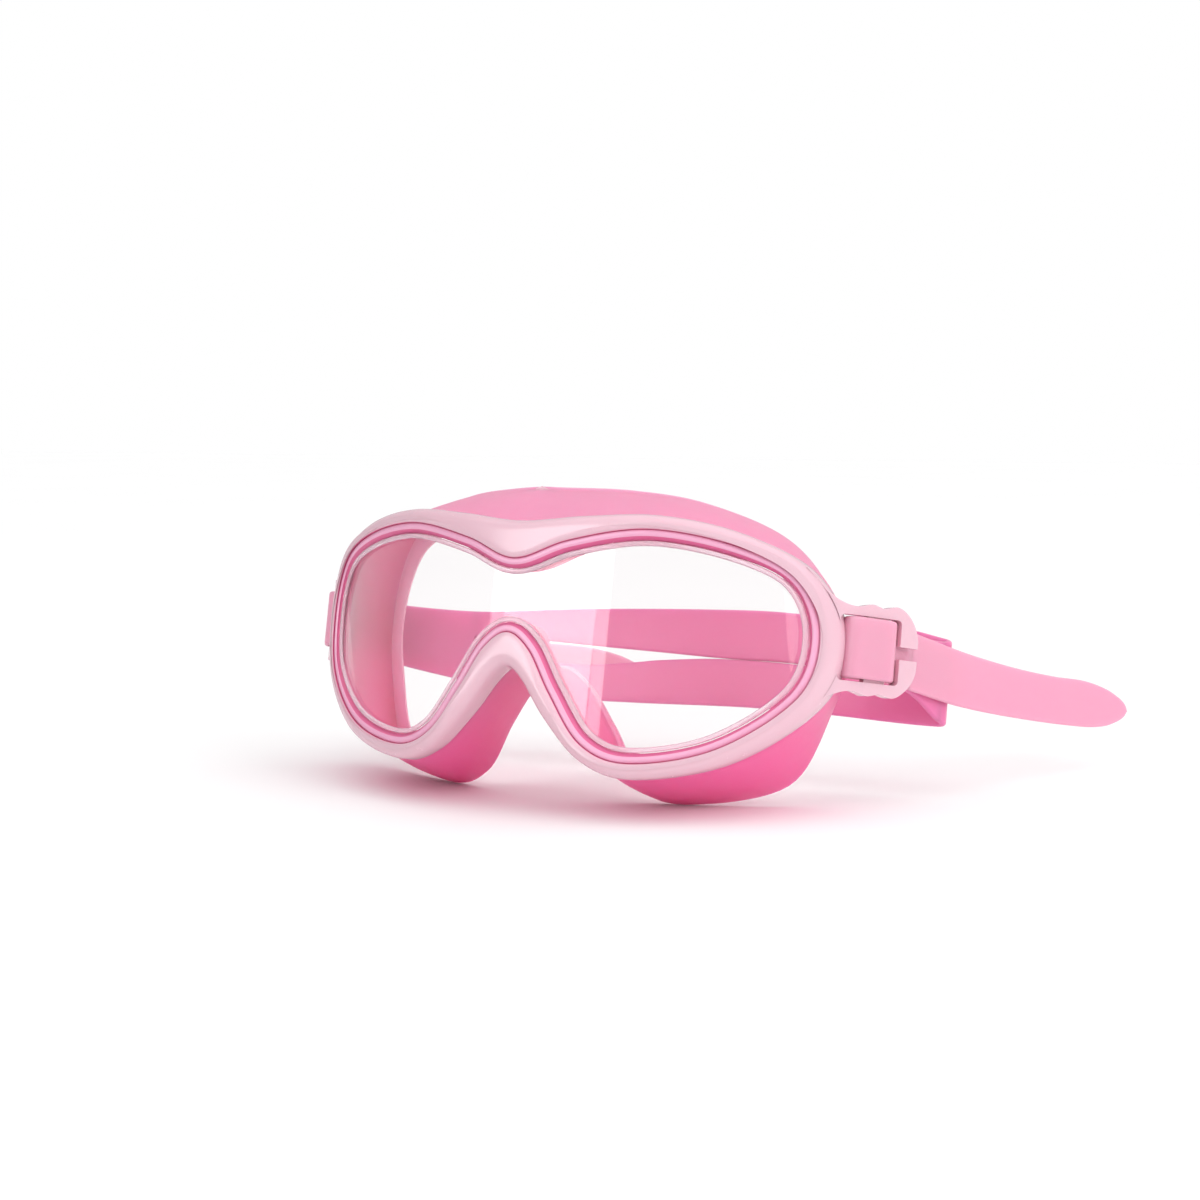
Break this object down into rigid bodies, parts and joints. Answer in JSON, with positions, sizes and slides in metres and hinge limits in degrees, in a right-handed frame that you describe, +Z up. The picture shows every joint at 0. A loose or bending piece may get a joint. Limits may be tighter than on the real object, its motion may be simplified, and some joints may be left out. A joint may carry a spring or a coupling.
{
  "type": "swim goggles",
  "caption": "One-piece wide-view swim goggles: curved lens in a rigid frame, soft skirt, windowed side lugs and a silicone strap slit into bands behind the head.",
  "frame": {"origin": "on the mid-plane, at the crown of the curve that the lens opening of the frame follows, under 1 mm in front of the lens", "axes": "+X to the wearer's left, across both lenses; +Y back towards the head; +Z up, with the mask leaning back 11 degrees on its cheeks as it stands"},
  "size_m": [0.2098, 0.149, 0.0805],
  "materials": {
    "frame": "gloss",
    "lens": "clear polished",
    "ring": "satin",
    "skirt": "satin",
    "inner_ring": "satin",
    "strap": "satin"
  },
  "bodies": {
    "mask": {"front_frame": "frame", "lens": "lens", "lens_gasket": "ring", "face_seal": "skirt", "retaining_ring": "inner_ring", "lug_left": "frame", "lug_right": "frame", "strap_loop_left": "strap", "strap_loop_right": "strap"},
    "strap": {"strap_run_left": "strap", "strap_run_right": "strap", "strap_upper_band": "strap", "strap_lower_band": "strap"},
    "tail_left": {"strap_tail_left": "strap"},
    "tail_right": {"strap_tail_right": "strap"}
  },
  "joints": [
    {"name": "strap_tilt", "type": "hinge", "parent": "mask", "child": "strap", "pos_m": [0, 0.04515, -0.00878], "axis": [1, 0, 0], "range_deg": [-8, 15], "stiffness_Nm_per_rad": 0.25},
    {"name": "left_tail_flex", "type": "hinge", "parent": "strap", "child": "tail_left", "pos_m": [0.08634, 0.05515, -0.01072], "axis": [0, -0.1908, -0.9816], "range_deg": [0, 45], "stiffness_Nm_per_rad": 0.02},
    {"name": "right_tail_flex", "type": "hinge", "parent": "strap", "child": "tail_right", "pos_m": [-0.07548, 0.05755, -0.01119], "axis": [0, 0.1908, 0.9816], "range_deg": [0, 50], "stiffness_Nm_per_rad": 0.02}
  ]
}
